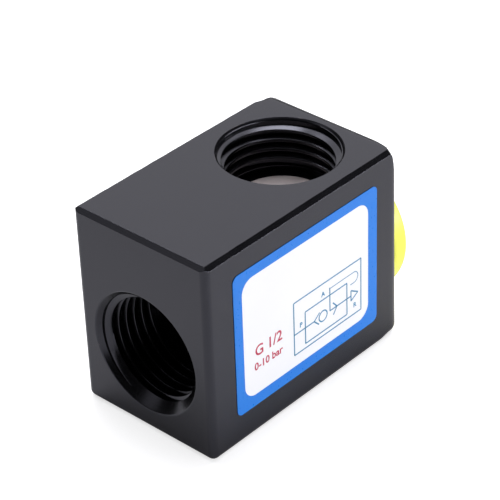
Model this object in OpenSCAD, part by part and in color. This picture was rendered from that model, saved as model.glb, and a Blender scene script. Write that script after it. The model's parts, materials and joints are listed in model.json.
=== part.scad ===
// Quick exhaust valve: a ported block with a shuttle seal, a screwed-in exhaust bush, a label and a dust plug.
// Millimetres. +X runs from the inlet end to the exhaust end, +Z is up and the label faces -Y.
// The origin is the middle of the block's underside.

/* [Block] */
// Length of the block from the inlet end to the exhaust end
body_l = 48; // [47:0.5:60]
// Width of the block
body_w = 29; // [28.5:0.5:40]
// Height of the block
body_h = 38; // [37.5:0.5:50]
// Radius of the edges and corners round the exhaust end
end_round = 2.2; // [1.6:0.1:4]
// Length over which the top chamfer runs out into an exhaust corner
end_blend = 2; // [0.6:0.1:3]
// Radius of the underside's edges and of the inlet end's upright edges
edge_round = 1.3; // [0.6:0.1:2.4]
// Size of the chamfer along the top edges
top_chamfer = 0.75; // [0.3:0.05:1.4]

/* [Ports] */
// Major diameter of the pipe thread in all three ports
thread_d = 20.955; // [20:0.005:21.2]
// Height of the flow axis, inlet to exhaust, above the underside
axis_z = 15.35; // [15:0.05:15.5]
// Depth of the inlet port
inlet_depth = 13; // [10:0.5:14]
// Chamfer at the inlet port's mouth
inlet_chamfer = 0.8; // [0.3:0.1:1.5]
// Depth of the outlet port in the top face
outlet_depth = 10.2; // [8:0.1:10.4]
// Chamfer at the outlet port's mouth
outlet_chamfer = 0.4; // [0.2:0.1:1.2]
// Distance of the outlet port's axis from the exhaust end
outlet_inset = 14; // [13.5:0.1:15]
// Depth of the exhaust port
exhaust_depth = 10.5; // [9:0.1:11]
// Chamfer at the exhaust port's mouth
exhaust_chamfer = 0.5; // [0.2:0.1:0.8]

/* [Chamber] */
// Diameter of the shuttle chamber
chamber_d = 23.4; // [22.6:0.1:24]
// Diameter of the passages through the inlet seat and the exhaust seat
passage_d = 12; // [9:0.1:12.4]
// Diameter of the hole from the outlet port down to the chamber
outlet_hole_d = 10.4; // [9:0.1:16]
// Thickness of the wall between the inlet port and the chamber
inlet_web = 4; // [3:0.1:5]
// Height of the raised inlet seat
seat_h = 1; // [0.6:0.1:1.4]
// Width of the inlet seat's ring
seat_ring = 1.2; // [0.8:0.1:1.4]

/* [Exhaust bush] */
// Diameter of the bush's screw thread
bush_thread_d = 25; // [24.8:0.1:25.6]
// Length of the bush's screw thread, short enough to end beside the outlet port and not under it
bush_thread_l = 2.5; // [1.9:0.1:2.6]
// Wall of the tube that carries the exhaust seat
nose_wall = 1.5; // [1:0.1:1.8]
// Thickness of the bush's web behind the exhaust port
bush_web = 1.5; // [1:0.1:2.5]
// Width of the spanner slots in the bush's end
slot_w = 2.4; // [1.5:0.1:3]
// Depth of the spanner slots
slot_depth = 1.2; // [0.6:0.1:1.8]
// Gap between pieces that fit together
fit_gap = 0.05; // [0.02:0.01:0.1]

/* [Seals] */
// Thickness of the shuttle seal's pad
cup_t = 3.2; // [2.4:0.1:4]
// Travel of the shuttle seal between the two seats
cup_travel = 2.4; // [1.5:0.1:3]
// Reach of the shuttle seal's lip past its pad
lip_reach = 1.7; // [1:0.1:2.4]
// Thickness of the lip at its free edge
lip_t = 0.7; // [0.5:0.05:0.9]
// Gap between the lip and the chamber wall
lip_gap = 0.4; // [0.3:0.05:0.6]
// Cord diameter of the bush's sealing ring
ring_cord = 0.72; // [0.6:0.01:0.8]

/* [Label] */
// Length of the label
label_l = 36; // [25:0.5:38]
// Height of the label
label_h = 27.4; // [20:0.1:30]
// Thickness of the label
label_t = 0.15; // [0.08:0.01:0.3]
// Corner radius of the label
label_corner = 1.2; // [0.5:0.1:4]
// Height of the label's middle above the middle of the side face
label_raise = 0.6; // [-1:0.1:1]

/* [Dust plug] */
// Diameter of the plug's head
plug_head_d = 26.2; // [22.5:0.1:28]
// Thickness of the plug's head
plug_head_t = 4.1; // [3.4:0.1:8]
// Rounding of the head's edges
plug_edge = 0.9; // [0.3:0.1:1.4]
// Diameter of the plug's stem, under the thread's crests
plug_stem_d = 18.2; // [15:0.1:18.4]
// Length of the plug's stem in the port
plug_stem_l = 8; // [5:0.1:8.5]
// Wall of the plug's stem
plug_wall = 1.5; // [1:0.1:2.5]
// Thickness of the plug's outer face
plug_face = 2; // [1.2:0.1:2.8]
// Height of the grip ribs round the stem
rib_h = 0.16; // [0.05:0.01:0.2]

/* [Hidden] */
$fn = 96;
hull_fn = 40;
over = 1;
rib_count = 3;

inlet_x = -body_l / 2;
exhaust_x = body_l / 2;
thread_r = thread_d / 2;
passage_r = passage_d / 2;
chamber_r = chamber_d / 2;
bush_thread_r = bush_thread_d / 2;

// Stations along the flow axis
inlet_floor_x = inlet_x + inlet_depth;
chamber_x = inlet_floor_x + inlet_web;
seat_x = chamber_x + seat_h;
cup_x = seat_x + fit_gap;
nose_x = cup_x + cup_t + cup_travel + fit_gap;
exhaust_floor_x = exhaust_x - exhaust_depth;
bush_x = exhaust_floor_x - bush_web;
bush_thread_x = exhaust_x - bush_thread_l;
ring_space = ring_cord + 2 * fit_gap;
step_x = bush_thread_x - ring_space;

// The outlet port stands over the chamber
outlet_x = exhaust_x - outlet_inset;
outlet_floor_z = body_h - outlet_depth;

// Radii that follow from a neighbour and the fitting gap
bush_r = chamber_r - fit_gap;
nose_r = passage_r + nose_wall;
seat_r = passage_r + seat_ring;
lip_r = chamber_r - lip_gap;
ring_r = (bush_r + bush_thread_r) / 2;
cap_x = exhaust_x - end_round - end_blend;

// Solid of revolution about the flow axis, from a flat shape drawn with radius across and x upwards
module about_flow() {
    translate([0, 0, axis_z])
        rotate([0, 90, 0])
            rotate_extrude()
                children();
}

// Solid of revolution about the flow axis, from an outline of [x, radius] points
module turned(outline) {
    about_flow()
        polygon([for (p = outline) [p[1], p[0]]]);
}

// Plain cylinder along the flow axis, from x0 to x1
module along_flow(r, x0, x1) {
    translate([x0, 0, axis_z])
        rotate([0, 90, 0])
            cylinder(r = r, h = x1 - x0);
}

// Rectangle from [x0, y0] to [x1, y1] with its own radius at each corner:
// low left, low right, high right, high left
module rounded_box(x0, y0, x1, y1, radii) {
    corners = [[x0, y0], [x1, y0], [x1, y1], [x0, y1]];
    difference() {
        translate([x0, y0])
            square([x1 - x0, y1 - y0]);
        for (i = [0 : 3])
            if (radii[i] > 0)
                translate(corners[i])
                    rotate(90 * i)
                        corner_waste(radii[i]);
    }
}

// What a round of radius r takes off a square corner at the origin
module corner_waste(r) {
    difference() {
        translate([-over, -over])
            square(r + over);
        translate([r, r])
            circle(r);
    }
}

// Cross-section of the block across the flow: rounded below, chamfered on top
module block_section() {
    difference() {
        rounded_box(-body_w / 2, 0, body_w / 2, body_h, [edge_round, edge_round, 0, 0]);
        for (side = [-1, 1])
            translate([side * body_w / 2, body_h])
                rotate(45)
                    square(top_chamfer * sqrt(2), center = true);
    }
}

// The block's section set across the flow at station x, drawn to length l
module section_at(x, l) {
    translate([x, 0, 0])
        rotate([90, 0, 90])
            linear_extrude(l)
                block_section();
}

// Outer form of the block's straight part, with the inlet end's edges
module straight_block() {
    intersection() {
        section_at(inlet_x, cap_x - inlet_x);
        linear_extrude(body_h)
            rounded_box(inlet_x, -body_w / 2, exhaust_x, body_w / 2, [edge_round, 0, 0, edge_round]);
        rotate([90, 0, 0])
            translate([0, 0, -body_w / 2])
                linear_extrude(body_w)
                    inlet_side_outline();
    }
}

// Side outline of the block: rounded at the inlet end's foot, chamfered at its top edge
module inlet_side_outline() {
    difference() {
        rounded_box(inlet_x, 0, exhaust_x, body_h, [edge_round, 0, 0, 0]);
        translate([inlet_x, body_h])
            rotate(45)
                square(top_chamfer * sqrt(2), center = true);
    }
}

// Exhaust end of the block, with ball corners that the section runs out into
module exhaust_end() {
    sliver = 0.01;
    hull() {
        section_at(cap_x - sliver, sliver, $fn = hull_fn);
        for (side = [-1, 1], z = [end_round, body_h - end_round])
            translate([exhaust_x - end_round, side * (body_w / 2 - end_round), z])
                sphere(end_round, $fn = hull_fn);
    }
}

// Threaded port and its mouth chamfer, cut along the flow axis from the inlet end
module inlet_cut() {
    turned([
        [inlet_x - over, 0],
        [inlet_x - over, thread_r + inlet_chamfer + over],
        [inlet_x + inlet_chamfer, thread_r],
        [inlet_floor_x, thread_r],
        [inlet_floor_x, 0]
    ]);
}

// Chamber round the raised inlet seat, with the wider screwed bore at the exhaust end
module chamber_cut() {
    turned([
        [chamber_x, seat_r],
        [chamber_x, chamber_r],
        [step_x, chamber_r],
        [step_x, bush_thread_r],
        [exhaust_x + over, bush_thread_r],
        [exhaust_x + over, 0],
        [seat_x, 0],
        [seat_x, seat_r]
    ]);
}

// Outlet port in the top face, and the hole from its floor down to the chamber
module outlet_cut() {
    translate([outlet_x, 0, 0]) {
        translate([0, 0, outlet_floor_z])
            cylinder(r = thread_r, h = outlet_depth + over);
        translate([0, 0, body_h - outlet_chamfer])
            cylinder(r1 = thread_r, r2 = thread_r + outlet_chamfer + over, h = outlet_chamfer + over);
        translate([0, 0, axis_z])
            cylinder(d = outlet_hole_d, h = outlet_floor_z - axis_z + over);
    }
}

module valve_body() {
    color([0.09, 0.09, 0.1])
        difference() {
            union() {
                straight_block();
                exhaust_end();
            }
            inlet_cut();
            along_flow(passage_r, inlet_floor_x - over, seat_x + over);
            chamber_cut();
            outlet_cut();
        }
}

// Screwed-in bush: seat tube, shoulder, screw thread and the exhaust port inside it
module exhaust_bush() {
    tip_break = nose_wall / 3;
    screw_r = bush_thread_r - fit_gap;
    color([0.75, 0.72, 0.7])
        difference() {
            turned([
                [nose_x, passage_r],
                [nose_x, nose_r - tip_break],
                [nose_x + tip_break, nose_r],
                [bush_x, nose_r],
                [bush_x, bush_r],
                [bush_thread_x, bush_r],
                [bush_thread_x, screw_r],
                [exhaust_x, screw_r],
                [exhaust_x, thread_r + exhaust_chamfer],
                [exhaust_x - exhaust_chamfer, thread_r],
                [exhaust_floor_x, thread_r],
                [exhaust_floor_x, passage_r]
            ]);
            translate([exhaust_x - slot_depth, -bush_thread_d, axis_z - slot_w / 2])
                cube([slot_depth + over, 2 * bush_thread_d, slot_w]);
        }
}

// Sealing ring between the block's step and the end of the bush's thread
module bush_seal_ring() {
    color([0.05, 0.05, 0.05])
        about_flow()
            translate([ring_r, step_x + ring_space / 2])
                circle(d = ring_cord, $fn = 32);
}

// Shuttle seal: a pad that closes either seat, and a lip that flares to the chamber wall
module cup_seal() {
    pad_r = seat_r + lip_gap;
    waist_r = nose_r + lip_gap + lip_t;
    waist_x = cup_x + waist_r - pad_r;
    lip_x = cup_x + cup_t + lip_reach;
    color([0.13, 0.12, 0.12])
        turned([
            [cup_x, 0],
            [cup_x, pad_r],
            [waist_x, waist_r],
            [lip_x - lip_t, lip_r],
            [lip_x, lip_r],
            [lip_x, lip_r - lip_t],
            [cup_x + cup_t, nose_r + lip_gap],
            [cup_x + cup_t, 0]
        ]);
}

// Printed label on the side face
module label() {
    label_z = body_h / 2 + label_raise;
    color([0.16, 0.5, 0.93])
        translate([0, -body_w / 2, label_z])
            rotate([90, 0, 0])
                linear_extrude(label_t)
                    rounded_box(-label_l / 2, -label_h / 2, label_l / 2, label_h / 2,
                        [label_corner, label_corner, label_corner, label_corner]);
}

// Push-in plug: a round-edged head and a hollow stem with grip ribs
module dust_plug() {
    stem_r = plug_stem_d / 2;
    head_x = exhaust_x + fit_gap;
    face_x = head_x + plug_head_t;
    stem_x = head_x - plug_stem_l;
    rib_pitch = plug_stem_l / (rib_count + 1);
    color([0.98, 0.85, 0.1])
        difference() {
            union() {
                about_flow()
                    rounded_box(0, head_x, plug_head_d / 2, face_x, [0, plug_edge, plug_edge, 0]);
                along_flow(stem_r, stem_x, head_x + plug_edge);
                for (i = [1 : rib_count])
                    grip_rib(stem_x + i * rib_pitch, stem_r);
            }
            along_flow(stem_r - plug_wall, stem_x - over, face_x - plug_face);
        }
}

// One pointed rib round the plug's stem at station x
module grip_rib(x, stem_r) {
    turned([
        [x - rib_h, stem_r - rib_h],
        [x - rib_h, stem_r],
        [x, stem_r + rib_h],
        [x + rib_h, stem_r],
        [x + rib_h, stem_r - rib_h]
    ]);
}

valve_body();
exhaust_bush();
bush_seal_ring();
cup_seal();
label();
dust_plug();
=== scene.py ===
"""Looks of the quick exhaust valve, laid out as an add-on and run as a script.

Lengths are metres in the part's own frame: +X runs from the inlet end to the exhaust end,
+Z is up through the outlet port, and the label faces -Y.
"""

import json
import math

import bmesh
import bpy
from bpy.props import FloatProperty, FloatVectorProperty, IntProperty, PointerProperty, StringProperty
from mathutils import Matrix, Vector, noise


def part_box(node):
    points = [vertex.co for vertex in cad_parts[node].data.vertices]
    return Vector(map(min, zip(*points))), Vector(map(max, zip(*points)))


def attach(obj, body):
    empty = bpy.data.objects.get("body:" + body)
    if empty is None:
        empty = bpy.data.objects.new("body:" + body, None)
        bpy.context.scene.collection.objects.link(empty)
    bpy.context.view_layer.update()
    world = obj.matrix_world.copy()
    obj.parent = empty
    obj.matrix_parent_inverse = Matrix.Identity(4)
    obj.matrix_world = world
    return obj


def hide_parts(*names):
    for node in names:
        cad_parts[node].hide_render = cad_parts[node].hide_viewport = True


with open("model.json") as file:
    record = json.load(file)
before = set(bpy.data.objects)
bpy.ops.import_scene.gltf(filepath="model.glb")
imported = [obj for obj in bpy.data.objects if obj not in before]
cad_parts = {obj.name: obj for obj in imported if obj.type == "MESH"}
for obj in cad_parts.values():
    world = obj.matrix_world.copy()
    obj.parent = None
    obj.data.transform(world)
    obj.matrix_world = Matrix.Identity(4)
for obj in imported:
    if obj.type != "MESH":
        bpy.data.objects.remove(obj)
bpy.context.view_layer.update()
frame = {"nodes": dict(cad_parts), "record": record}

bl_info = {
    "name": "Quick exhaust valve",
    "version": (1, 0, 0),
    "blender": (4, 5, 0),
    "location": "3D View > Sidebar > Valve",
    "description": "Builds the looks of a quick exhaust valve round its packed frame",
    "category": "Object",
}

MM = 0.001

BLOCK_LOW, BLOCK_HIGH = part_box("valve_body")
_, BUSH_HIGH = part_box("exhaust_bush")
LABEL_LOW, LABEL_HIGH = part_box("label")
PLUG_LOW, PLUG_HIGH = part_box("dust_plug")
HALF_WIDTH = (BLOCK_HIGH.y - BLOCK_LOW.y) / 2
MOUNTS = {mount["name"]: mount for mount in frame["record"]["mounts"]}
FLOW_Z = MOUNTS["port_p"]["pos_m"][2]
OUTLET_X = MOUNTS["port_a"]["pos_m"][0]
THREAD_RADIUS = MOUNTS["port_p"]["dims"]["r_mm"] * MM

# Local Z of a turned or threaded piece laid on the flow axis, or stood on the outlet port's axis
ON_FLOW = Matrix(((0, 0, 1, 0), (1, 0, 0, 0), (0, 1, 0, FLOW_Z), (0, 0, 0, 1)))
ON_OUTLET = Matrix.Translation((OUTLET_X, 0, 0))
# Flat print drawn in X and Y, with its thickness up Z, stood up on the block's label side
ON_LABEL_SIDE = Matrix(((1, 0, 0, 0), (0, 0, -1, BLOCK_LOW.y), (0, 1, 0, 0), (0, 0, 0, 1)))

LATHE_STEPS = 128
ROUND_STEPS = 8
CHAMFER_STEPS = 4
FILE_STROKES = 48
# How close the file marks lie, and where in the noise each top edge reads them
FILE_SCALE = 420
FILE_SEEDS = (3.1, 7.7)
MERGE_GAP = 1e-7
SHARP = math.radians(25)
# How near a point has to be to count as on a face or a rim
NEAR = 0.01 * MM
# Least upward part of the normal of a face that counts as floor
FACING_UP = 0.3
# How far a thread's ridge is sunk into its wall, and the share of its size that is left at its ends
SUNK = 0.04 * MM
FADED = 0.04
# Height of the built-in typeface's capitals as a share of its size
CAPITAL = 0.72


def length(name, text, mm):
    """Setting for a length, given in millimetres and kept in metres."""
    return FloatProperty(name=name, description=text, default=mm * MM, unit="LENGTH", precision=5)


def share(name, text, value):
    """Setting for a share between 0 and 1."""
    return FloatProperty(name=name, description=text, default=value, min=0, max=1, subtype="FACTOR")


def number(name, text, value):
    """Setting for a plain number from 0 up."""
    return FloatProperty(name=name, description=text, default=value, min=0)


def colour(name, text, rgb):
    """Setting for a linear colour."""
    return FloatVectorProperty(
        name=name, description=text, default=rgb, size=3, min=0, max=1, subtype="COLOR"
    )


def degrees(name, text, value):
    """Setting for an angle, given in degrees and kept in radians."""
    angle = math.radians(value)
    return FloatProperty(name=name, description=text, default=angle, unit="ROTATION", subtype="ANGLE")


class BlockSettings(bpy.types.PropertyGroup):
    """Sizes and finish of the ported block."""

    edge_round: length("Edge round", "Radius of the edges below and upright at the inlet end", 1.3)
    end_round: length("End round", "Radius of the edges and ball corners round the exhaust end", 2.2)
    label_top_round: length("Label top round", "Radius of the end's edges above the label", 2.6)
    corner_round: length("Corner round", "Radius of the end's outline at its corner above the label", 4.6)
    label_foot_round: length("Label foot round", "Radius of the end's corner below the label", 1.95)
    end_blend: length("End blend", "Length over which the section runs out into the ball corners", 2.4)
    corner_growth: share("Corner growth", "Share of the end's rounding in which that corner grows", 0.7)
    top_chamfer: length("Top chamfer", "Size of the chamfer along the top edges", 0.75)
    edge_break: length("Edge break", "Width of the small break on the block's sharp edges", 0.2)
    mouth_break: length("Mouth break", "Width of the small break round the outlet port's mouth", 0.12)
    inlet_break: length("Inlet break", "Width of the softer break round the inlet port's mouth", 0.22)
    file_marks: length("File marks", "How much the hand-filed chamfers wander", 0.06)
    inlet_depth: length("Inlet depth", "Depth of the inlet port", 13.0)
    inlet_chamfer: length("Inlet chamfer", "Chamfer at the inlet port's mouth", 0.8)
    outlet_depth: length("Outlet depth", "Depth of the outlet port", 10.2)
    outlet_chamfer: length("Outlet chamfer", "Chamfer at the outlet port's mouth", 0.4)
    outlet_hole: length("Outlet hole", "Radius of the hole from the outlet port to the chamber", 5.2)
    bare_floor: length("Bare floor", "Radius inside which the outlet port's floor is bare metal", 8.3)
    passage: length("Passage", "Radius of the passage through the inlet seat", 6.0)
    seat: length("Seat", "Outer radius of the inlet seat", 7.2)
    seat_height: length("Seat height", "Height of the inlet seat above the chamber's floor", 1.0)
    web: length("Web", "Wall between the inlet port and the chamber", 4.0)
    chamber: length("Chamber", "Radius of the shuttle chamber", 11.7)
    screw_bore: length("Screw bore", "Radius of the bore that takes the bush's screw", 12.5)
    screw_depth: length("Screw depth", "Depth of the screw bore from the exhaust end", 3.32)
    coat: colour("Coat", "Colour of the black coating", (0.0024, 0.0024, 0.003))
    bare: colour("Bare metal", "Colour of worn and uncoated metal", (0.66, 0.59, 0.58))
    gloss: share("Gloss", "Specular level of the coating", 0.84)
    sheen: colour("Sheen", "Colour of what the coating mirrors", (0.86, 0.86, 1.0))


class ThreadSettings(bpy.types.PropertyGroup):
    """Sizes of the pipe thread in the ports."""

    radius: length("Thread radius", "Radius of the port at the foot of the thread", THREAD_RADIUS / MM)
    pitch: length("Pitch", "Rise of the thread in one turn", 1.814)
    depth: length("Thread depth", "Height of the ridge above the port's wall", 1.16)
    foot: length("Foot width", "Width of the ridge at the port's wall", 1.62)
    crest: length("Crest width", "Width of the ridge at its crest", 0.52)
    ease: length("Crest ease", "Rounding of the ridge's corners", 0.14)
    exhaust_depth: length("Exhaust depth", "Depth of the exhaust port in the bush", 10.5)
    exhaust_chamfer: length("Exhaust chamfer", "Chamfer at the exhaust port's mouth", 0.5)
    run_out: number("Run-out", "Turns over which the ridge fades at each end", 0.45)
    outlet_run_out: number("Outlet run-out", "The same at the outlet port's mouth", 1.1)
    countersink: number("Countersink", "Slope of the cone that cuts the ridge back at a mouth", 2.0)
    inlet_countersink: number("Inlet countersink", "Slope of that cone at the inlet port's mouth", 1.0)
    mouth_gap: length("Mouth gap", "From a port's mouth to the end of its ridge", 0.35)
    floor_gap: length("Floor gap", "From a port's floor to the end of its ridge", 0.6)
    inlet_phase: degrees("Inlet phase", "Where the inlet port's ridge starts round its axis", 42)
    steps: IntProperty(name="Steps", description="Points in one turn of the ridge", default=96, min=12)


class LabelSettings(bpy.types.PropertyGroup):
    """Sizes, words and inks of the printed label."""

    corner: length("Film corner", "Corner radius of the film", 1.2)
    film: length("Film thickness", "Thickness of the film", 0.1)
    border_left: length("Left border", "Blue border left of the white field", 1.95)
    border_right: length("Right border", "Blue border right of the white field", 2.34)
    border_top: length("Top border", "Blue border above the white field", 1.93)
    border_low: length("Lower border", "Blue border below the white field", 2.25)
    field_corner: length("Field corner", "Corner radius of the white field", 2.6)
    ink: length("Ink", "Height of one layer of ink", 0.015)
    trim: length("Trim", "How far the film ends short of its place at the exhaust end", 0.4)
    line: length("Line", "Width of the symbol's lines", 0.25)
    thin_line: length("Thin line", "Width of the symbol's pilot line", 0.15)
    letter: length("Letter", "Height of the port letters", 0.9)
    size_height: length("Size height", "Height of the thread size", 2.1)
    range_height: length("Range height", "Height of the pressure range", 1.45)
    weight: length("Weight", "How much all letters are thickened", 0.04)
    blue: colour("Blue", "Colour of the border", (0.008, 0.205, 0.74))
    white: colour("White", "Colour of the field", (0.93, 0.935, 0.94))
    line_ink: colour("Line ink", "Colour of the symbol's lines", (0.03, 0.24, 0.44))
    red_ink: colour("Red ink", "Colour of the port size and pressure marks", (0.52, 0.03, 0.075))
    size_mark: StringProperty(name="Size mark", description="Thread size of the ports", default="G 1/2")
    range_mark: StringProperty(name="Range mark", description="Working pressure", default="0-10 bar")


class PlugSettings(bpy.types.PropertyGroup):
    """Sizes and colour of the dust plug."""

    head_edge: length("Head edge", "Rounding of the head's edges", 0.9)
    head: length("Head thickness", "Thickness of the plug's head", 4.1)
    stem: length("Stem", "Radius of the stem", 9.1)
    bore: length("Bore", "Radius of the stem's hollow", 7.6)
    face: length("Face", "Thickness of the plug's outer face", 2.0)
    rib: length("Rib", "Height of the grip ribs round the stem", 0.16)
    ribs: IntProperty(name="Ribs", description="Number of grip ribs", default=3, min=0)
    dish: length("Dish", "Depth of the shallow dish in the outer face", 0.35)
    dish_rim: share("Dish rim", "Radius of the dish's rim as a share of the head's", 0.74)
    dish_floor: share("Dish floor", "Radius of the dish's floor as a share of the head's", 0.7)
    small_edge: length("Small edge", "Rounding of the stem's edges and of the dish", 0.3)
    yellow: colour("Yellow", "Colour of the moulded plastic", (0.94, 0.94, 0.12))


class StageSettings(bpy.types.PropertyGroup):
    """Camera, lamps and floor."""

    azimuth: degrees("Azimuth", "Direction of view in plan, from +X towards +Y", 42.9577)
    elevation: degrees("Elevation", "How far the camera looks down", 33.8067)
    roll: degrees("Roll", "Turn of the camera about its line of sight", -2.0636)
    distance: length("Distance", "From the camera to its target", 360.0)
    target: FloatVectorProperty(
        name="Target", description="Point the camera looks at", size=3, subtype="XYZ", unit="LENGTH",
        default=(0.002288, 0.000338, 0.021864),
    )
    lens: number("Lens", "Focal length in millimetres", 154.403)
    floor_reach: length("Floor reach", "Half the width of the floor", 1600.0)
    floor_tone: share("Floor tone", "How pale the floor is", 0.86)
    floor_lift: share("Floor lift", "White added where the floor is seen directly", 0.7)
    mirror_lift: share("Mirror lift", "White added where it is seen mirrored or through something", 0.0)
    room: share("Room", "Dim light from the room all round", 0.02)
    tint: colour("Lamp tint", "Colour of all the lamps", (0.962, 0.958, 1.0))


def new_object(name, bm):
    """New object at the origin that holds the given faces."""
    mesh = bpy.data.meshes.new(name)
    bm.to_mesh(mesh)
    bm.free()
    obj = bpy.data.objects.new(name, mesh)
    bpy.context.scene.collection.objects.link(obj)
    return obj


def make_plain(obj):
    """Turn the evaluated object into a plain mesh, without its modifiers."""
    depsgraph = bpy.context.evaluated_depsgraph_get()
    mesh = bpy.data.meshes.new_from_object(
        obj.evaluated_get(depsgraph), preserve_all_data_layers=True, depsgraph=depsgraph
    )
    obj.modifiers.clear()
    obj.data = mesh
    mesh.name = obj.name
    if not mesh.polygons:
        raise RuntimeError(f"{obj.name} came out empty")


def smooth(obj, angle=30):
    """Smooth shading between sharp edges, weighted so that flat faces stay flat."""
    obj.data.shade_smooth()
    obj.data.set_sharp_from_angle(angle=math.radians(angle))
    weighted = obj.modifiers.new("flat_faces", "WEIGHTED_NORMAL")
    weighted.keep_sharp = True
    weighted.weight = 80
    make_plain(obj)


def seat(obj, body, slot, *materials):
    """Give a piece its materials and its body; the slot its finish comes from is not used."""
    for material in materials:
        obj.data.materials.append(material)
    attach(obj, body)


def join_rings(bm, rings):
    """Faces from each ring of vertices to the next; a ring may be a single point."""
    for low, high in zip(rings, rings[1:]):
        for k in range(max(len(low), len(high))):
            m = k + 1
            around = [low[k % len(low)], low[m % len(low)], high[m % len(high)], high[k % len(high)]]
            corners = list(dict.fromkeys(around))
            if len(corners) > 2:
                bm.faces.new(corners)


def lathe(profile, place):
    """Solid turned about local Z from (along, radius) points, set in place by a matrix.

    The profile starts and ends on the axis.
    """
    bm = bmesh.new()
    rings = []
    for along, radius in profile:
        count = LATHE_STEPS if radius > MERGE_GAP else 1
        turns = [2 * math.pi * k / count for k in range(count)]
        points = [Vector((radius * math.cos(a), radius * math.sin(a), along)) for a in turns]
        rings.append([bm.verts.new(place @ point) for point in points])
    join_rings(bm, rings)
    bmesh.ops.recalc_face_normals(bm, faces=bm.faces[:])
    return bm


def eased(points):
    """Profile from (along, radius, ease) points, with an arc of radius ease at each eased corner."""
    profile = []
    for i, (along, radius, ease) in enumerate(points):
        corner = Vector((along, radius))
        if ease <= 0:
            profile.append(tuple(corner))
            continue
        before = (Vector(points[i - 1][:2]) - corner).normalized()
        after = (Vector(points[(i + 1) % len(points)][:2]) - corner).normalized()
        half = before.angle(after) / 2
        centre = corner + (before + after).normalized() * ease / math.sin(half)
        start = corner + before * ease / math.tan(half) - centre
        turn = start.angle_signed(corner + after * ease / math.tan(half) - centre)
        for k in range(ROUND_STEPS + 1):
            spoke = Matrix.Rotation(-turn * k / ROUND_STEPS, 2) @ start
            profile.append(tuple(centre + spoke))
    return profile


# Node trees


def feed(node, label, value):
    """Link an input of a node to a socket, or set it to a value."""
    if isinstance(value, bpy.types.NodeSocket):
        node.id_data.links.new(value, node.inputs[label])
    else:
        node.inputs[label].default_value = value


def add_node(tree, kind, inputs=None, **settings):
    """New node in a tree, with its settings and with its inputs fed."""
    node = tree.nodes.new(kind)
    for name, value in settings.items():
        setattr(node, name, value)
    for label, value in (inputs or {}).items():
        feed(node, label, value)
    return node


def new_group(name, inputs, outputs):
    """Empty shader group with a place and float inputs, and with float outputs; also gives its inputs."""
    group = bpy.data.node_groups.new(name, "ShaderNodeTree")
    group.interface.new_socket("Place", in_out="INPUT", socket_type="NodeSocketVector")
    for label, default in inputs.items():
        socket = group.interface.new_socket(label, in_out="INPUT", socket_type="NodeSocketFloat")
        socket.default_value = default
    for label in outputs:
        group.interface.new_socket(label, in_out="OUTPUT", socket_type="NodeSocketFloat")
    return group, group.nodes.new("NodeGroupInput").outputs


def new_tree(name, **inputs):
    """Empty geometry node tree with the named inputs of each kind; also gives its inputs."""
    tree = bpy.data.node_groups.new(name, "GeometryNodeTree")
    for kind, labels in inputs.items():
        for label in labels:
            tree.interface.new_socket(label, in_out="INPUT", socket_type="NodeSocket" + kind)
    tree.interface.new_socket("Geometry", in_out="OUTPUT", socket_type="NodeSocketGeometry")
    return tree, tree.nodes.new("NodeGroupInput").outputs


def finish_tree(tree, geometry, material):
    """End a geometry node tree in Realize Instances and Set Material."""
    realize = add_node(tree, "GeometryNodeRealizeInstances", {"Geometry": geometry})
    painted = {"Geometry": realize.outputs["Geometry"], "Material": material}
    paint = add_node(tree, "GeometryNodeSetMaterial", painted)
    add_node(tree, "NodeGroupOutput", {"Geometry": paint.outputs["Geometry"]})


def run_tree(obj, tree, values):
    """Run a geometry node tree on an object with the given inputs and keep the plain mesh."""
    modifier = obj.modifiers.new(tree.name, "NODES")
    modifier.node_group = tree
    for item in tree.interface.items_tree:
        if item.in_out == "INPUT" and item.name in values:
            modifier[item.identifier] = values[item.name]
    make_plain(obj)


# Finishes and the shader groups that they share


def grain_group():
    """Fine skin and broad mottle of a surface, as two values from 0 to 1."""
    existing = bpy.data.node_groups.get("surface_grain")
    if existing:
        return existing
    scales = {"Fine Scale": 2500.0, "Broad Scale": 120.0}
    group, given = new_group("surface_grain", scales, ["Fine", "Broad"])
    clouds = {}
    for label, detail in (("Fine", 3.0), ("Broad", 5.0)):
        pattern = {"Vector": given["Place"], "Scale": given[label + " Scale"], "Detail": detail}
        clouds[label] = add_node(group, "ShaderNodeTexNoise", pattern).outputs["Fac"]
    add_node(group, "NodeGroupOutput", clouds)
    return group


def wear_group():
    """Bare metal where the wear is high, broken up by a grain, as a mask from 0 to 1."""
    existing = bpy.data.node_groups.get("worn_edge")
    if existing:
        return existing
    values = {"Wear": 0.0, "Scale": 500.0, "Start": 0.42, "Full": 0.52}
    group, given = new_group("worn_edge", values, ["Mask"])
    pattern = {"Vector": given["Place"], "Scale": given["Scale"], "Detail": 4.0}
    cloud = add_node(group, "ShaderNodeTexNoise", pattern).outputs["Fac"]
    worn = add_node(group, "ShaderNodeMath", {0: cloud, 1: given["Wear"]}, operation="MULTIPLY")
    limits = {"Value": worn.outputs["Value"], "From Min": given["Start"], "From Max": given["Full"]}
    edge = add_node(group, "ShaderNodeMapRange", limits, interpolation_type="SMOOTHSTEP")
    add_node(group, "NodeGroupOutput", {"Mask": edge.outputs["Result"]})
    return group


def spaced(values):
    """Values by socket name, where an underscore stands for a space."""
    return {label.replace("_", " "): value for label, value in values.items()}


def scaled(rgb, factor):
    """The colour made lighter or darker."""
    return tuple(min(1.0, channel * factor) for channel in rgb)


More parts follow.
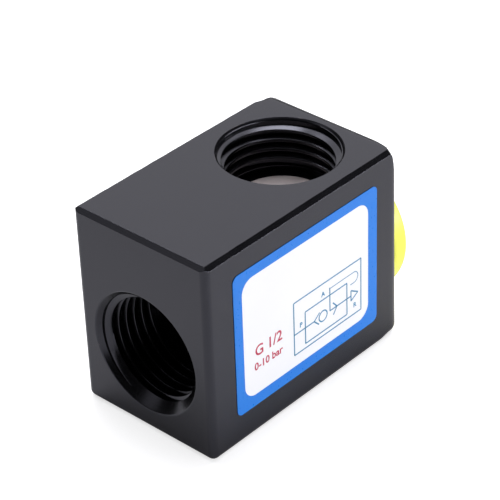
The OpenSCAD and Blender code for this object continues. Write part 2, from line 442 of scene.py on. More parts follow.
class Finish:
    """A material in the making: its tree, its shader and the place that patterns are read from."""

    def __init__(self, name):
        self.material = bpy.data.materials.new(name)
        self.material.use_nodes = True
        self.tree = self.material.node_tree
        self.shader = self.tree.nodes["Principled BSDF"]
        self.place = self.tree.nodes.new("ShaderNodeTexCoord").outputs["Object"]

    def set(self, **values):
        """Feed the shader's own sockets."""
        for label, value in spaced(values).items():
            feed(self.shader, label, value)

    def group(self, tree, **values):
        """Place a shader group, feed its inputs and give its outputs."""
        inputs = {"Place": self.place, **spaced(values)}
        return add_node(self.tree, "ShaderNodeGroup", inputs, node_tree=tree).outputs

    def grain(self, fine, broad):
        """Fine and broad pattern of the surface at the given scales."""
        return self.group(grain_group(), Fine_Scale=fine, Broad_Scale=broad)

    def mix(self, mask, low, high):
        """Colour that goes from low to high with the mask; either end may be a colour or a socket."""
        node = add_node(self.tree, "ShaderNodeMix", {"Factor": mask}, data_type="RGBA")
        order = [socket.identifier for socket in node.inputs]
        for label, value in (("A_Color", low), ("B_Color", high)):
            is_socket = isinstance(value, bpy.types.NodeSocket)
            feed(node, order.index(label), value if is_socket else (*value, 1))
        return next(s for s in node.outputs if s.identifier == "Result_Color")

    def shades(self, mask, rgb, low, high):
        """Colour that goes from one shade of itself to another with the mask."""
        return self.mix(mask, scaled(rgb, low), scaled(rgb, high))

    def ramp(self, value, low, high):
        """Value from 0 to 1 spread between low and high."""
        spread = {"Value": value, "To Min": low, "To Max": high}
        return add_node(self.tree, "ShaderNodeMapRange", spread).outputs["Result"]

    def bump(self, height, strength, distance):
        """Relief on the shader's normal from a height."""
        relief = {"Height": height, "Strength": strength, "Distance": distance}
        self.set(Normal=add_node(self.tree, "ShaderNodeBump", relief).outputs["Normal"])

    def attribute(self, name):
        """Value that is stored on the mesh."""
        return add_node(self.tree, "ShaderNodeAttribute", attribute_name=name).outputs["Fac"]


def black_coat(name, settings, rough_low, rough_high):
    """Semi-gloss black coating, with bare metal where the mesh says that it is worn."""
    coat = Finish(name)
    grain = coat.grain(fine=3200.0, broad=160.0)
    worn = coat.group(wear_group(), Scale=420.0, Wear=coat.attribute("wear"))["Mask"]
    black = coat.shades(grain["Broad"], settings.coat, 0.7, 1.3)
    coat.set(
        Base_Color=coat.mix(worn, black, scaled(settings.bare, 0.5)),
        Metallic=worn,
        Roughness=coat.ramp(grain["Broad"], rough_low, rough_high),
        Specular_IOR_Level=settings.gloss,
        Specular_Tint=(*settings.sheen, 1),
    )
    coat.bump(grain["Fine"], strength=0.12, distance=0.02 * MM)
    return coat.material


def turned_metal(name, bare, direction, centre, metallic=1.0):
    """Bare metal with the fine rings that a turning tool leaves about an axis."""
    metal = Finish(name)
    shift = {"Vector": metal.place, "Location": [-c for c in centre]}
    mapping = add_node(metal.tree, "ShaderNodeMapping", shift)
    rings = add_node(
        metal.tree,
        "ShaderNodeTexWave",
        {"Vector": mapping.outputs["Vector"], "Scale": 900.0, "Distortion": 1.5, "Detail": 2.0},
        wave_type="RINGS",
        rings_direction=direction,
    )
    grain = metal.grain(fine=2600.0, broad=350.0)
    metal.set(
        Base_Color=metal.shades(grain["Broad"], bare, 0.62, 1.2),
        Metallic=metallic,
        Roughness=metal.ramp(grain["Broad"], 0.32, 0.52),
    )
    metal.bump(rings.outputs["Fac"], strength=0.25, distance=0.03 * MM)
    return metal.material


def seal_rubber():
    """Matt black rubber with a fine skin."""
    rubber = Finish("seal_rubber")
    grain = rubber.grain(fine=1800.0, broad=220.0)
    rubber.set(
        Base_Color=rubber.mix(grain["Broad"], (0.012, 0.012, 0.012), (0.03, 0.029, 0.028)),
        Roughness=rubber.ramp(grain["Broad"], 0.5, 0.72),
    )
    rubber.bump(grain["Fine"], strength=0.2, distance=0.04 * MM)
    return rubber.material


def print_film(name, rgb, rough, dots):
    """Glossy printed film or ink, with the faint unevenness of print."""
    film = Finish(name)
    grain = film.grain(fine=dots, broad=90.0)
    film.set(
        Base_Color=film.shades(grain["Broad"], rgb, 0.97, 1.03),
        Roughness=film.ramp(grain["Fine"], rough - 0.03, rough + 0.04),
    )
    film.bump(grain["Fine"], strength=0.02, distance=0.01 * MM)
    return film.material


def moulded_plastic(name, rgb):
    """Smooth moulded plastic with slight clouding."""
    plastic = Finish(name)
    grain = plastic.grain(fine=1500.0, broad=110.0)
    plastic.set(
        Base_Color=plastic.shades(grain["Broad"], rgb, 0.9, 1.05),
        Roughness=plastic.ramp(grain["Broad"], 0.28, 0.42),
    )
    plastic.bump(grain["Fine"], strength=0.08, distance=0.03 * MM)
    return plastic.material


# The block


def arc(centre_y, centre_z, radius, start):
    """Quarter turn of points round a corner, from the angle start in degrees."""
    turns = [math.radians(start + 90 * k / ROUND_STEPS) for k in range(ROUND_STEPS + 1)]
    return [(centre_y + radius * math.cos(a), centre_z + radius * math.sin(a)) for a in turns]


def cut_corner(y0, z0, y1, z1):
    """Row of points along a chamfer, as many as a quarter turn has."""
    steps = [k / ROUND_STEPS for k in range(ROUND_STEPS + 1)]
    return [(y0 + (y1 - y0) * s, z0 + (z1 - z0) * s) for s in steps]


def section(inset, top_inset, low_round, top_cut, wander=(0, 0)):
    """Corners of the block's outline across the flow, round below and chamfered above."""
    half = HALF_WIDTH - inset
    low = BLOCK_LOW.z + inset
    top = BLOCK_HIGH.z - top_inset
    right_cut = top_cut + wander[0]
    left_cut = top_cut + wander[1]
    return [
        arc(half - low_round, low + low_round, low_round, -90),
        cut_corner(half, top - right_cut, half - right_cut, top),
        cut_corner(left_cut - half, top, -half, top - left_cut),
        arc(low_round - half, low + low_round, low_round, 180),
    ]


def smoothstep(part):
    """Part of a way, held between 0 and 1 and eased at both ends."""
    part = min(1.0, max(0.0, part))
    return part * (part * (3 - 2 * part))


def between(first, second, part):
    """Row of points part of the way from one row to another."""
    return [tuple(Vector(a).lerp(Vector(b), part)) for a, b in zip(first, second)]


def ball_slice(x, radius):
    """Radius at a station of a ball that ends where the block ends."""
    past = max(0.0, x - BLOCK_HIGH.x + radius)
    return math.sqrt(max(0.0, radius**2 - past**2))


def ball_corner(x, start, straight, side, z, radius, turn):
    """One corner of the outline at a station past start, where it runs out into a ball."""
    ball = arc(side * (HALF_WIDTH - radius), z, ball_slice(x, radius), turn)
    part = (x - start) / (BLOCK_HIGH.x - radius - start)
    return between(straight, ball, smoothstep(part))


def soft_corner(s, x):
    """The corner above the label at a station, where the chamfer grows into a wide round."""
    drop = s.label_top_round - ball_slice(x, s.label_top_round)
    past = (x - BLOCK_HIGH.x) / s.label_top_round + 1
    grown = smoothstep(past / s.corner_growth)
    reach = s.top_chamfer + grown * (s.corner_round - s.top_chamfer)
    half = HALF_WIDTH - drop
    top = BLOCK_HIGH.z - drop
    flat = cut_corner(reach - half, top, -half, top - reach)
    return between(flat, arc(reach - half, top - reach, reach, 90), grown)


def end_section(s, x, start):
    """Corners of the outline at a station past start: three balls and the soft corner above the label."""
    low_right, right, _, low_left = section(0, 0, s.edge_round, s.top_chamfer)
    low = BLOCK_LOW.z + s.end_round
    high = BLOCK_HIGH.z - s.end_round
    foot = BLOCK_LOW.z + s.label_foot_round
    return [
        ball_corner(x, start, low_right, 1, low, s.end_round, -90),
        ball_corner(x, start, right, 1, high, s.end_round, 0),
        soft_corner(s, x),
        ball_corner(x, start, low_left, -1, foot, s.label_foot_round, 180),
    ]


def block_stations(s):
    """Stations along the block with the outline's corners at each, from the inlet end to the exhaust end."""
    quarter = [math.radians(90 * k / ROUND_STEPS) for k in range(ROUND_STEPS + 1)]
    depths = {s.edge_round * (1 - math.sin(a)) for a in quarter}
    depths |= {s.top_chamfer * k / CHAMFER_STEPS for k in range(1, CHAMFER_STEPS + 1)}
    stations = []
    for depth in sorted(depths):
        reach = math.sqrt(max(0.0, s.edge_round**2 - (s.edge_round - depth) ** 2))
        inset = s.edge_round - reach
        top_inset = max(0.0, s.top_chamfer - depth)
        top_cut = max(0.0, s.top_chamfer - inset - top_inset)
        stations.append((BLOCK_LOW.x + depth, section(inset, top_inset, reach, top_cut)))
    start = BLOCK_LOW.x + s.edge_round
    balls = (s.end_round, s.label_top_round, s.label_foot_round)
    end = BLOCK_HIGH.x - max(balls) - s.end_blend
    for k in range(1, FILE_STROKES + 1):
        x = start + (end - start) * k / FILE_STROKES
        wander = [s.file_marks * noise.noise((x * FILE_SCALE, seed, 0)) for seed in FILE_SEEDS]
        stations.append((x, section(0, 0, s.edge_round, s.top_chamfer, wander)))
    depths = {r * (1 - math.sin(a)) for r in balls for a in quarter}
    depths |= {max(balls) + s.end_blend * k / ROUND_STEPS for k in range(1, ROUND_STEPS)}
    for depth in sorted(depths, reverse=True):
        x = BLOCK_HIGH.x - depth
        stations.append((x, end_section(s, x, end)))
    return stations


def block_form(s):
    """Closed outer form of the block, before its ports are cut."""
    bm = bmesh.new()
    rings = [[bm.verts.new((x, y, z)) for y, z in sum(corners, [])] for x, corners in block_stations(s)]
    join_rings(bm, rings)
    bm.faces.new(rings[0])
    bm.faces.new(rings[-1])
    bmesh.ops.remove_doubles(bm, verts=bm.verts[:], dist=MERGE_GAP)
    bmesh.ops.dissolve_degenerate(bm, edges=bm.edges[:], dist=MERGE_GAP)
    bmesh.ops.recalc_face_normals(bm, faces=bm.faces[:])
    return bm


def flow_bore(s, thread):
    """Everything that is bored along the flow axis: inlet port, seat, chamber and screw bore."""
    over = s.inlet_chamfer
    inlet_floor = BLOCK_LOW.x + s.inlet_depth
    chamber_floor = inlet_floor + s.web
    seat_top = chamber_floor + s.seat_height
    step = BLOCK_HIGH.x - s.screw_depth
    profile = [
        (BLOCK_LOW.x - over, 0),
        (BLOCK_LOW.x - over, thread.radius + s.inlet_chamfer + over),
        (BLOCK_LOW.x + s.inlet_chamfer, thread.radius),
        (inlet_floor, thread.radius),
        (inlet_floor, s.passage),
        (seat_top, s.passage),
        (seat_top, s.seat),
        (chamber_floor, s.seat),
        (chamber_floor, s.chamber),
        (step, s.chamber),
        (step, s.screw_bore),
        (BLOCK_HIGH.x + over, s.screw_bore),
        (BLOCK_HIGH.x + over, 0),
    ]
    return lathe(profile, ON_FLOW)


def outlet_bore(s, thread):
    """The outlet port in the top face and the hole from its floor to the chamber."""
    over = s.inlet_chamfer
    floor = BLOCK_HIGH.z - s.outlet_depth
    profile = [
        (FLOW_Z, 0),
        (FLOW_Z, s.outlet_hole),
        (floor, s.outlet_hole),
        (floor, s.bare_floor),
        (floor, thread.radius),
        (BLOCK_HIGH.z - s.outlet_chamfer, thread.radius),
        (BLOCK_HIGH.z + over, thread.radius + s.outlet_chamfer + over),
        (BLOCK_HIGH.z + over, 0),
    ]
    return lathe(profile, ON_OUTLET)


def cut(obj, *bores):
    """Take the bores out of a solid."""
    tools = [new_object(f"bore_{k}", bm) for k, bm in enumerate(bores)]
    for tool in tools:
        modifier = obj.modifiers.new(tool.name, "BOOLEAN")
        modifier.operation = "DIFFERENCE"
        modifier.solver = "EXACT"
        modifier.object = tool
    make_plain(obj)
    for tool in tools:
        bpy.data.objects.remove(tool)


def off_flow(point):
    """Distance of a point from the flow axis."""
    return math.hypot(point.y, point.z - FLOW_Z)


def off_outlet(point):
    """Distance of a point from the outlet port's axis."""
    return math.hypot(point.x - OUTLET_X, point.y)


def sharp_edges(bm):
    """Convex edges of the block that are sharp to the touch, each with its middle."""
    for edge in bm.edges:
        if len(edge.link_faces) == 2 and edge.is_convex and edge.calc_face_angle() > SHARP:
            yield edge, (edge.verts[0].co + edge.verts[1].co) / 2


def break_edges(obj, s, thread):
    """Break the block's outer edges and port mouths, and mark how worn the coat is there."""
    bm = bmesh.new()
    bm.from_mesh(obj.data)
    worn = bm.faces.layers.float.new("wear")
    floor = BLOCK_HIGH.z - s.outlet_depth
    inlet_rim = thread.radius + s.inlet_chamfer
    outlet_rim = thread.radius + s.outlet_chamfer

    def inlet_mouth(p):
        return p.x < BLOCK_LOW.x + NEAR and off_flow(p) < inlet_rim + NEAR

    def outlet_mouth(p):
        return p.z > BLOCK_HIGH.z - NEAR and off_outlet(p) < outlet_rim + NEAR

    def outlet_neck(p):
        return abs(p.z - BLOCK_HIGH.z + s.outlet_chamfer) < NEAR and off_outlet(p) < thread.radius + NEAR

    def outlet_floor(p):
        return abs(p.z - floor) < NEAR and off_outlet(p) < s.outlet_hole + NEAR

    def outer(p):
        bored = off_flow(p) < s.screw_bore + MM or off_outlet(p) < outlet_rim + NEAR
        return not bored or p.x > BLOCK_HIGH.x - NEAR

    # Which edges are broken, how wide the break is and how worn the coat is on it
    breaks = (
        (outer, s.edge_break, 0.62),
        (inlet_mouth, s.inlet_break, 0.64),
        (outlet_mouth, s.mouth_break, 0.82),
        (outlet_neck, s.mouth_break, 0.66),
        (outlet_floor, s.mouth_break, 0.88),
    )
    for where, width, wear in breaks:
        chosen = [edge for edge, middle in sharp_edges(bm) if where(middle)]
        made = bmesh.ops.bevel(
            bm, geom=chosen, offset=width, segments=3, profile=0.5, affect="EDGES", clamp_overlap=True
        )
        for face in made["faces"]:
            face[worn] = wear
    # The outlet port's floor is bare metal, the second material
    for face in bm.faces:
        p = face.calc_center_median()
        bare = off_outlet(p) < s.bare_floor and floor - MM < p.z < floor + s.mouth_break
        face.material_index = int(bare and face.normal.z > FACING_UP)
    # A break may stand a few microns proud where chamfers wander, so the block is kept in its box
    for vertex in bm.verts:
        vertex.co = Vector(map(max, BLOCK_LOW, map(min, BLOCK_HIGH, vertex.co)))
    bm.to_mesh(obj.data)
    bm.free()


class VALVE_OT_block(bpy.types.Operator):
    """Make the ported block"""

    bl_idname = "valve.block"
    bl_label = "Ported block"

    def execute(self, context):
        s = context.scene.valve_block
        thread = context.scene.valve_thread
        block = new_object("block", block_form(s))
        cut(block, flow_bore(s, thread), outlet_bore(s, thread))
        break_edges(block, s, thread)
        smooth(block)
        coat = black_coat("black_coat", s, rough_low=0.2, rough_high=0.3)
        floor = turned_metal("bare_port_floor", s.bare, "Z", (OUTLET_X, 0, 0), metallic=0.1)
        seat(block, "valve", "black_body", coat, floor)
        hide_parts("valve_body")
        return {"FINISHED"}


# Threads


def thread_tree():
    """Geometry nodes for one internal thread: a ridge swept along a helix about local Z."""
    existing = bpy.data.node_groups.get("port_thread")
    if existing:
        return existing
    tree, given = new_tree(
        "port_thread",
        Float=("Radius", "Rise", "Turns", "Depth", "Foot", "Crest", "Ease", "Grow", "Fade"),
        Int=("Steps",),
        Material=("Material",),
    )
    spiral = {
        "Resolution": given["Steps"],
        "Rotations": given["Turns"],
        "Start Radius": given["Radius"],
        "End Radius": given["Radius"],
        "Height": given["Rise"],
        "Reverse": True,
    }
    helix = add_node(tree, "GeometryNodeCurveSpiral", spiral).outputs["Curve"]
    upright = add_node(tree, "GeometryNodeSetCurveNormal", {"Curve": helix}, mode="Z_UP")
    sides = {
        "Height": given["Depth"],
        "Bottom Width": given["Foot"],
        "Top Width": given["Crest"],
        "Offset": 0.0,
    }
    ridge = add_node(tree, "GeometryNodeCurvePrimitiveQuadrilateral", sides, mode="TRAPEZOID")
    corners = {
        "Curve": ridge.outputs["Curve"],
        "Radius": given["Ease"],
        "Count": 4,
        "Limit Radius": True,
    }
    fillet = add_node(tree, "GeometryNodeFilletCurve", corners, mode="POLY")
    # The ridge is turned so that its crest points at the axis, and its foot stands on the helix
    half = add_node(tree, "ShaderNodeMath", {0: given["Depth"], 1: -0.5}, operation="MULTIPLY")
    shift = add_node(tree, "ShaderNodeCombineXYZ", {"X": half.outputs["Value"]})
    stand = {
        "Geometry": fillet.outputs["Curve"],
        "Translation": shift.outputs["Vector"],
        "Rotation": (0, 0, math.pi / 2),
    }
    inward = add_node(tree, "GeometryNodeTransform", stand)
    # The ridge grows from next to nothing at one end and fades at the other
    along = tree.nodes.new("GeometryNodeSplineParameter").outputs["Factor"]
    left = add_node(tree, "ShaderNodeMath", {0: 1.0, 1: along}, operation="SUBTRACT").outputs["Value"]
    ends = []
    for way, limit in ((along, given["Grow"]), (left, given["Fade"])):
        limits = {"Value": way, "From Max": limit, "To Min": FADED}
        ends.append(add_node(tree, "ShaderNodeMapRange", limits).outputs["Result"])
    size = add_node(tree, "ShaderNodeMath", dict(enumerate(ends)), operation="MULTIPLY")
    swept = {
        "Curve": upright.outputs["Curve"],
        "Profile Curve": inward.outputs["Geometry"],
        "Scale": size.outputs["Value"],
        "Fill Caps": True,
    }
    sweep = add_node(tree, "GeometryNodeCurveToMesh", swept)
    finish_tree(tree, sweep.outputs["Mesh"], given["Material"])
    return tree


def port_thread(name, thread, start, end, mouth, chamfer, slope, fade, place, slot, material, phase=0.0):
    """Thread ridge in one port, between two stations on its axis and cut back by a cone at its mouth."""
    rise = end - start
    turns = rise / thread.pitch
    obj = new_object(name, bmesh.new())
    values = {
        "Radius": thread.radius + SUNK,
        "Rise": rise,
        "Turns": turns,
        "Depth": thread.depth + SUNK,
        "Foot": thread.foot,
        "Crest": thread.crest,
        "Ease": thread.ease,
        "Grow": thread.run_out / turns,
        "Fade": fade / turns,
        "Steps": thread.steps,
        "Material": material,
    }
    run_tree(obj, thread_tree(), values)
    mesh = obj.data
    mesh.transform(Matrix.Translation((0, 0, start)) @ Matrix.Rotation(phase, 4, "Z"))
    # The foot reaches out to the mouth's chamfer, and a countersink of its own slope cuts the crest back
    for vertex in mesh.vertices:
        radius = math.hypot(vertex.co.x, vertex.co.y)
        inside = abs(vertex.co.z - mouth)
        if radius > thread.radius:
            limit = thread.radius + chamfer - inside + SUNK
        else:
            limit = thread.radius + chamfer - slope * inside
        if radius < limit:
            vertex.co.x *= limit / radius
            vertex.co.y *= limit / radius
    mesh.transform(place)
    smooth(obj, angle=40)
    seat(obj, "valve", slot)


class VALVE_OT_threads(bpy.types.Operator):
    """Make the pipe threads in the three ports"""

    bl_idname = "valve.threads"
    bl_label = "Port threads"

    def execute(self, context):
        s = context.scene.valve_block
        thread = context.scene.valve_thread
        black = black_coat("thread_coat", s, rough_low=0.16, rough_high=0.3)
        bright = turned_metal("bush_thread_metal", s.bare, "X", (0, 0, FLOW_Z))
        inlet = BLOCK_LOW.x
        outlet = BLOCK_HIGH.z
        exhaust = BUSH_HIGH.x
        port_thread(
            "inlet_thread", thread,
            start=inlet + thread.mouth_gap, end=inlet + s.inlet_depth - thread.floor_gap,
            mouth=inlet, chamfer=s.inlet_chamfer, slope=thread.inlet_countersink, fade=thread.run_out,
            place=ON_FLOW, slot="black_body", material=black, phase=thread.inlet_phase,
        )
        # The outlet port's ridge is turned so that it ends on the side of the exhaust end
        low = outlet - s.outlet_depth + thread.floor_gap
        high = outlet - thread.mouth_gap
        port_thread(
            "outlet_thread", thread, start=low, end=high,
            mouth=outlet, chamfer=s.outlet_chamfer, slope=thread.countersink, fade=thread.outlet_run_out,
            place=ON_OUTLET, slot="black_body", material=black,
            phase=-2 * math.pi * (high - low) / thread.pitch,
        )
        port_thread(
            "exhaust_thread", thread,
            start=exhaust - thread.exhaust_depth + thread.floor_gap, end=exhaust - thread.mouth_gap,
            mouth=exhaust, chamfer=thread.exhaust_chamfer, slope=thread.countersink, fade=thread.run_out,
            place=ON_FLOW, slot="bush_metal", material=bright,
        )
        return {"FINISHED"}


class VALVE_OT_inner_parts(bpy.types.Operator):
    """Finish the bush and the two seals"""

    bl_idname = "valve.inner_parts"
    bl_label = "Bush and seals"

    def execute(self, context):
        s = context.scene.valve_block
        rubber = seal_rubber()
        metal = turned_metal("bush_metal", s.bare, "X", (0, 0, FLOW_Z))
        for node, material in (("exhaust_bush", metal), ("bush_seal_ring", rubber), ("cup_seal", rubber)):
            mesh = frame["nodes"][node].data
            mesh.materials.clear()
            mesh.materials.append(material)
        return {"FINISHED"}


# The label


def plate(name, low, high, corner, back, front):
    """Thin plate with round corners, drawn flat from (x, y) low to high and from height back to front."""
    centres = [
        (high[0] - corner, low[1] + corner, -90),
        (high[0] - corner, high[1] - corner, 0),
        (low[0] + corner, high[1] - corner, 90),
        (low[0] + corner, low[1] + corner, 180),
    ]
    outline = [point for x, y, start in centres for point in arc(x, y, corner, start)]
    bm = bmesh.new()
    rings = [[bm.verts.new((x, y, height)) for x, y in outline] for height in (back, front)]
    for ring in rings:
        bm.faces.new(ring)
    join_rings(bm, rings)
    bmesh.ops.recalc_face_normals(bm, faces=bm.faces[:])
    bm.transform(ON_LABEL_SIDE)
    return new_object(name, bm)


def print_tree():
    """Geometry nodes that draw thin printed lines along the edges of a mesh."""
    existing = bpy.data.node_groups.get("printed_lines")
    if existing:
        return existing
    tree, given = new_tree(
        "printed_lines", Geometry=("Geometry",), Float=("Width", "Height"), Material=("Material",)
    )
    paths = add_node(tree, "GeometryNodeMeshToCurve", {"Mesh": given["Geometry"]}).outputs["Curve"]
    level = add_node(tree, "GeometryNodeSetCurveNormal", {"Curve": paths}, mode="Z_UP")
    sides = {"Width": given["Width"], "Height": given["Height"]}
    stroke = add_node(tree, "GeometryNodeCurvePrimitiveQuadrilateral", sides)
    swept = {
        "Curve": level.outputs["Curve"],
        "Profile Curve": stroke.outputs["Curve"],
        "Fill Caps": True,
    }
    sweep = add_node(tree, "GeometryNodeCurveToMesh", swept)
    finish_tree(tree, sweep.outputs["Mesh"], given["Material"])
    return tree


# Where the words stand on the label side: centre x and z in millimetres
PORT_LETTERS = {"P": (-2.13, 15.68), "A": (3.51, 18.77), "R": (11.71, 12.19)}
SIZE_MARK_AT = (-10.12, 16.43)
RANGE_MARK_AT = (-10.23, 13.49)


def ring_path(x, y, radius, start, end, steps):
    """Points of an arc in the flat print."""
    turns = [math.radians(start + (end - start) * k / steps) for k in range(steps + 1)]
    return [(x + radius * math.cos(a), y + radius * math.sin(a)) for a in turns]


def strokes(*corners):
    """One straight path for each side of an angular line, so that every side keeps its full width."""
    return [list(side) for side in zip(corners, corners[1:])]


def symbol_paths():
    """Bold lines and pilot line of the standard quick exhaust symbol, in millimetres on the label side."""
    flow = 14.48
    pilot = 18.97
    bold = strokes((-3.87, 10.4), (13.35, 10.4), (13.35, 20.86), (-3.87, 20.86), (-3.87, 10.4))
    bold += strokes((-1.05, 11.3), (9.66, 11.3), (9.66, 17.67), (-1.05, 17.67), (-1.05, 11.3))
    # Inlet with its seat and ball, then the way out past the exhaust seat to the vent
    bold += strokes((-3.87, flow), (1.2, flow))
    bold += strokes((2.59, 15.58), (1.2, flow), (2.38, 13.29))
    bold.append(ring_path(3.47, 14.43, 1.03, 0, 360, 32))
    bold += strokes((5.25, pilot + 0.2), (5.25, flow), (10.68, flow))
    bold += strokes((6.02, 15.68), (7.04, flow), (6.12, 13.19))
    bold += strokes((10.73, 15.58), (12.53, flow), (10.73, 13.49), (10.73, 15.58))
    hook = [(5.25, pilot)] + ring_path(11.5, pilot - 1.06, 1.06, 90, -90, 16) + [(10.58, pilot - 2.12)]
    return bold, [hook]


def draw_paths(name, paths, width, back, front, material):
    """Printed lines along flat paths, stood up on the label side."""
    bm = bmesh.new()
    for path in paths:
        verts = [bm.verts.new((x * MM, y * MM, 0)) for x, y in path]
        for a, b in zip(verts, verts[1:]):
            bm.edges.new((a, b))
    obj = new_object(name, bm)
    run_tree(obj, print_tree(), {"Width": width, "Height": front - back, "Material": material})
    obj.data.transform(ON_LABEL_SIDE @ Matrix.Translation((0, 0, (back + front) / 2)))
    return obj


def words(name, lines, weight, back, front):
    """Printed words as one mesh; each line is a text, its centre x and z in millimetres and its height."""
    joined = bmesh.new()
    for text, (x, z), height in lines:
        curve = bpy.data.curves.new(name, "FONT")
        curve.body = text
        curve.align_x = "CENTER"
        curve.align_y = "CENTER"
        curve.size = height / CAPITAL
        curve.offset = weight
        curve.extrude = (front - back) / 2
        curve.resolution_u = 4
        obj = bpy.data.objects.new(name, curve)
        bpy.context.scene.collection.objects.link(obj)
        mesh = bpy.data.meshes.new_from_object(obj.evaluated_get(bpy.context.evaluated_depsgraph_get()))
        mesh.transform(Matrix.Translation((x * MM, z * MM, (back + front) / 2)))
        joined.from_mesh(mesh)
        bpy.data.objects.remove(obj)
    bmesh.ops.remove_doubles(joined, verts=joined.verts[:], dist=MERGE_GAP)
    bmesh.ops.recalc_face_normals(joined, faces=joined.faces[:])
    joined.transform(ON_LABEL_SIDE)
    return new_object(name, joined)


class VALVE_OT_label(bpy.types.Operator):
    """Make the printed label"""

    bl_idname = "valve.label"
    bl_label = "Printed label"

    def execute(self, context):
        s = context.scene.valve_label
        low = (LABEL_LOW.x, LABEL_LOW.z)
        high = (LABEL_HIGH.x - s.trim, LABEL_HIGH.z)
        film = plate("label_film", low, high, s.corner, 0, s.film)
        field_low = (low[0] + s.border_left, low[1] + s.border_low)
        field_high = (high[0] - s.border_right, high[1] - s.border_top)
        field_top = s.film + s.ink
        field = plate("label_field", field_low, field_high, s.field_corner, s.film - s.ink, field_top)
        line_ink = print_film("line_ink", s.line_ink, rough=0.35, dots=3000.0)
        red_ink = print_film("red_ink", s.red_ink, rough=0.35, dots=3000.0)
        ink_back = field_top - s.ink / 2
        ink_top = field_top + s.ink
        bold, thin = symbol_paths()
        lines = draw_paths("label_symbol", bold, s.line, ink_back, ink_top, line_ink)
        pilot = draw_paths("label_pilot_line", thin, s.thin_line, ink_back, ink_top, line_ink)
        ports = [(text, place, s.letter) for text, place in PORT_LETTERS.items()]
        letters = words("label_port_letters", ports, s.weight, ink_back, ink_top)
        marks = [
            (s.size_mark, SIZE_MARK_AT, s.size_height),
            (s.range_mark, RANGE_MARK_AT, s.range_height),
        ]
        numbers = words("label_marks", marks, s.weight, ink_back, ink_top)
        blue = print_film("label_blue", s.blue, rough=0.28, dots=2200.0)
        white = print_film("label_white", s.white, rough=0.3, dots=1800.0)
        seat(film, "valve", "label_print", blue)
        seat(field, "valve", "label_print", white)
        seat(lines, "valve", "label_print")
        seat(pilot, "valve", "label_print")
        seat(letters, "valve", "label_print", line_ink)
        seat(numbers, "valve", "label_print", red_ink)
        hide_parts("label")
        return {"FINISHED"}


class VALVE_OT_dust_plug(bpy.types.Operator):
    """Make the push-in dust plug"""

    bl_idname = "valve.dust_plug"
    bl_label = "Dust plug"

    def execute(self, context):
        s = context.scene.valve_plug
        tip = PLUG_LOW.x
        face = PLUG_HIGH.x
        head = face - s.head
        head_radius = (PLUG_HIGH.y - PLUG_LOW.y) / 2
        pitch = (head - tip) / (s.ribs + 1)
        points = [
            (face - s.face, 0, 0),
            (face - s.face, s.bore, s.small_edge),
            (tip, s.bore, s.small_edge),
            (tip, s.stem, s.small_edge),
        ]
        for k in range(1, s.ribs + 1):
            x = tip + k * pitch
            points += [(x - s.rib, s.stem, 0), (x, s.stem + s.rib, 0), (x + s.rib, s.stem, 0)]
        points += [
            (head, s.stem, s.small_edge),
            (head, head_radius, s.head_edge),
            (face, head_radius, s.head_edge),
            (face, s.dish_rim * head_radius, s.small_edge),
            (face - s.dish, s.dish_floor * head_radius, s.small_edge),
            (face - s.dish, 0, 0),
        ]
        plug = new_object("plug_cap", lathe(eased(points), ON_FLOW))
        smooth(plug)
        seat(plug, "plug", "yellow_plastic", moulded_plastic("yellow_plastic", s.yellow))
        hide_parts("dust_plug")
        return {"FINISHED"}


# The stage


def sight_line(azimuth, elevation):
    """Unit vector of a line that looks down by the elevation, towards the azimuth."""
    flat = math.cos(elevation)
    return Vector((flat * math.cos(azimuth), flat * math.sin(azimuth), -math.sin(elevation)))


def set_camera(s):
    """Camera at the photograph's viewing angle."""
    ahead = sight_line(s.azimuth, s.elevation)
    level = Vector((math.sin(s.azimuth), -math.cos(s.azimuth), 0))
    upright = level.cross(ahead)
    right = level * math.cos(s.roll) + upright * math.sin(s.roll)
    up = upright * math.cos(s.roll) - level * math.sin(s.roll)
    data = bpy.data.cameras.new("view")
    data.lens = s.lens
    camera = bpy.data.objects.new("view", data)
    turn = Matrix((right, up, -ahead)).transposed().to_4x4()
    camera.matrix_world = Matrix.Translation(Vector(s.target) - ahead * s.distance) @ turn
    bpy.context.scene.collection.objects.link(camera)
    bpy.context.scene.camera = camera


# Lamps: name, azimuth and elevation in degrees as seen from the block, distance, width and height in
# metres, and radiance
LAMPS = (
    ("ceiling", 40, 80, 0.8, 0.9, 0.9, 0.75),
    ("overhead", 40, 75, 0.8, 0.34, 0.34, 5.6),
    ("left_spot", 99, 56, 0.8, 0.1, 0.1, 16.0),
    ("right_spot", 339, 69, 0.8, 0.1, 0.1, 14.0),
    ("back", 44, 40, 0.8, 1.1, 0.8, 0.92),
    ("left_back", 135, 37, 0.8, 0.4, 0.3, 0.4),
    ("front", 292, 6, 0.7, 0.9, 0.14, 11.9),
)


def softbox(name, azimuth, elevation, distance, width, height, radiance, tint):
    """Soft lamp that looks at the middle of the block."""
    data = bpy.data.lights.new(name, "AREA")
    data.shape = "RECTANGLE"
    data.size = width
    data.size_y = height
    data.energy = radiance * math.pi * width * height
    data.color = tint
    lamp = bpy.data.objects.new(name, data)
    ahead = sight_line(math.radians(azimuth + 180), math.radians(elevation))
    middle = (BLOCK_LOW + BLOCK_HIGH) / 2
    turn = ahead.to_track_quat("-Z", "Y").to_matrix().to_4x4()
    lamp.matrix_world = Matrix.Translation(middle - ahead * distance) @ turn
    bpy.context.scene.collection.objects.link(lamp)


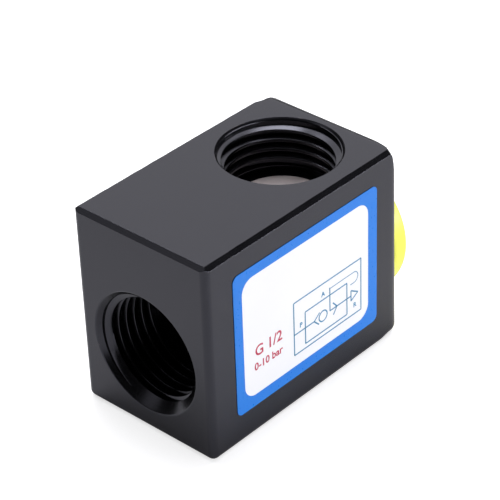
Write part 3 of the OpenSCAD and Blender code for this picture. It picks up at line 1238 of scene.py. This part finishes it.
def pale_floor(s):
    """Wide pale floor that keeps the block's shadow."""
    bm = bmesh.new()
    reach = s.floor_reach
    corners = ((-reach, -reach), (reach, -reach), (reach, reach), (-reach, reach))
    bm.faces.new([bm.verts.new((x, y, 0)) for x, y in corners])
    floor = new_object("floor", bm)
    finish = Finish("pale_floor")
    seen = finish.tree.nodes.new("ShaderNodeLightPath").outputs
    lift = finish.ramp(seen["Is Camera Ray"], 0.0, s.floor_lift)
    for label in ("Is Glossy Ray", "Is Transmission Ray"):
        both = {0: lift, 1: finish.ramp(seen[label], 0.0, s.mirror_lift)}
        lift = add_node(finish.tree, "ShaderNodeMath", both, operation="MAXIMUM").outputs["Value"]
    finish.set(
        Base_Color=(s.floor_tone, s.floor_tone, s.floor_tone, 1),
        Roughness=0.9,
        Specular_IOR_Level=0.0,
        Emission_Color=(1, 1, 1, 1),
        Emission_Strength=lift,
    )
    floor.data.materials.append(finish.material)


class VALVE_OT_stage(bpy.types.Operator):
    """Set the floor, the lamps and the camera"""

    bl_idname = "valve.stage"
    bl_label = "Stage"

    def execute(self, context):
        s = context.scene.valve_stage
        scene = context.scene
        scene.view_settings.view_transform = "Standard"
        world = bpy.data.worlds.new("room")
        world.use_nodes = True
        background = world.node_tree.nodes["Background"]
        feed(background, "Color", (1, 1, 1, 1))
        feed(background, "Strength", s.room)
        scene.world = world
        pale_floor(s)
        for lamp in LAMPS:
            softbox(*lamp, s.tint)
        set_camera(s)
        return {"FINISHED"}


PIECES = (
    VALVE_OT_block,
    VALVE_OT_threads,
    VALVE_OT_inner_parts,
    VALVE_OT_label,
    VALVE_OT_dust_plug,
    VALVE_OT_stage,
)
SETTINGS = {
    "valve_block": BlockSettings,
    "valve_thread": ThreadSettings,
    "valve_label": LabelSettings,
    "valve_plug": PlugSettings,
    "valve_stage": StageSettings,
}


class VALVE_PT_panel(bpy.types.Panel):
    """Buttons and settings for the valve"""

    bl_label = "Quick exhaust valve"
    bl_idname = "VALVE_PT_panel"
    bl_space_type = "VIEW_3D"
    bl_region_type = "UI"
    bl_category = "Valve"

    def draw(self, context):
        for piece in PIECES:
            self.layout.operator(piece.bl_idname)
        for name, group in SETTINGS.items():
            box = self.layout.box()
            for label in group.__annotations__:
                box.prop(getattr(context.scene, name), label)


CLASSES = (*SETTINGS.values(), *PIECES, VALVE_PT_panel)


def register():
    for item in CLASSES:
        bpy.utils.register_class(item)
    for name, group in SETTINGS.items():
        setattr(bpy.types.Scene, name, PointerProperty(type=group))


def unregister():
    for name in SETTINGS:
        delattr(bpy.types.Scene, name)
    for item in reversed(CLASSES):
        bpy.utils.unregister_class(item)


def main():
    """Build every piece and the stage."""
    register()
    bpy.ops.valve.block()
    bpy.ops.valve.threads()
    bpy.ops.valve.inner_parts()
    bpy.ops.valve.label()
    bpy.ops.valve.dust_plug()
    bpy.ops.valve.stage()


if __name__ == "__main__":
    main()
